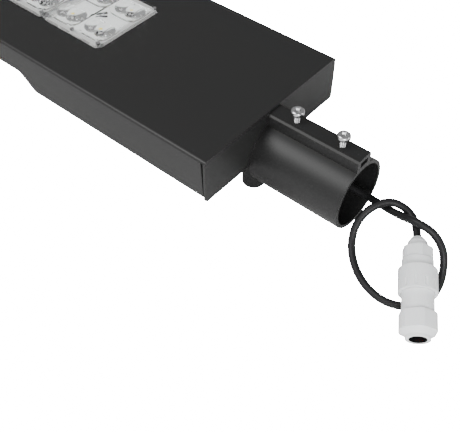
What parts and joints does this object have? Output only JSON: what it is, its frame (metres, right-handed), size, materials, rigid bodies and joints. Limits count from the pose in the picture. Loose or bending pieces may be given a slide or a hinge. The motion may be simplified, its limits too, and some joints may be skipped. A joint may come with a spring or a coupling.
{
  "type": "street lamp head",
  "caption": "Box-shaped LED street-lighting head with a clamped pole socket, lying lens face up with its looped supply cable and sealed coupling.",
  "frame": {"origin": "centre of the pole socket's mouth", "axes": "+X along the socket out of its mouth, +Y across the head, +Z out of the lens face"},
  "size_m": [0.6997, 0.19, 0.0925],
  "materials": {
    "powder_coat": "fine textured black powder coat",
    "cast_coat": "satin black paint on cast metal",
    "bare_aluminium": "plain extruded and rolled",
    "steel": "bright zinc-plated",
    "circuit_board": "white solder mask",
    "led_phosphor": "yellow phosphor",
    "clear_lens": "clear moulded acrylic",
    "silicone": "translucent silicone",
    "driver_case": "moulded white case",
    "block_plastic": "moulded",
    "lead_insulation": "smooth insulation",
    "gland_plastic": "black polyamide",
    "cable_rubber": "matt black rubber sheath",
    "seal_rubber": "soft black rubber",
    "coupling_grey": "light grey polyamide"
  },
  "bodies": {
    "lamp_head": {"housing_tray": "powder_coat", "spigot_end_plate": "powder_coat", "nose_end_plate": "powder_coat", "back_cover": "powder_coat", "spigot_casting": "cast_coat", "heat_sink": "bare_aluminium", "led_carrier": "bare_aluminium", "cover_screws": "steel", "lens_screws": "steel", "driver_screws": "steel", "spigot_bolts": "steel", "clamp_nuts": "steel", "led_board_1": "circuit_board", "led_board_2": "circuit_board", "led_board_3": "circuit_board", "led_chips": "led_phosphor", "lens_plate_1": "clear_lens", "lens_plate_2": "clear_lens", "lens_plate_3": "clear_lens", "lens_gasket_1": "silicone", "lens_gasket_2": "silicone", "lens_gasket_3": "silicone", "led_driver": "driver_case", "surge_protector": "driver_case", "terminal_block": "block_plastic", "contact_insert": "block_plastic", "supply_leads": "lead_insulation", "led_leads": "lead_insulation", "cable_gland": "gland_plastic", "gland_locknut": "gland_plastic", "mains_cable": "cable_rubber", "inlet_seal": "seal_rubber", "coupling_oring": "seal_rubber", "outlet_seal": "seal_rubber", "inlet_body": "coupling_grey", "outlet_body": "coupling_grey"},
    "clamp_screw_1": {"clamp_screw_1": "steel"},
    "clamp_screw_2": {"clamp_screw_2": "steel"},
    "inlet_nut": {"inlet_gland_nut": "coupling_grey"},
    "coupling_ring": {"locking_ring": "coupling_grey"},
    "outlet_nut": {"outlet_gland_nut": "coupling_grey"}
  },
  "joints": [
    {"name": "clamp_screw_1_travel", "type": "slide", "parent": "lamp_head", "child": "clamp_screw_1", "axis": [0, 0, -1], "range_m": [0, 0.0078]},
    {"name": "clamp_screw_2_travel", "type": "slide", "parent": "lamp_head", "child": "clamp_screw_2", "axis": [0, 0, -1], "range_m": [0, 0.0078]},
    {"name": "inlet_nut_turn", "type": "hinge", "parent": "lamp_head", "child": "inlet_nut", "pos_m": [0.0658, -0.0095, -0.0015], "axis": [0.5351, -0.8209, -0.1994], "continuous": true},
    {"name": "coupling_ring_lock", "type": "hinge", "parent": "lamp_head", "child": "coupling_ring", "pos_m": [0.0658, -0.0095, -0.0015], "axis": [0.5351, -0.8209, -0.1994], "range_deg": [0, 30]},
    {"name": "outlet_nut_turn", "type": "hinge", "parent": "lamp_head", "child": "outlet_nut", "pos_m": [0.0658, -0.0095, -0.0015], "axis": [0.5351, -0.8209, -0.1994], "continuous": true}
  ]
}
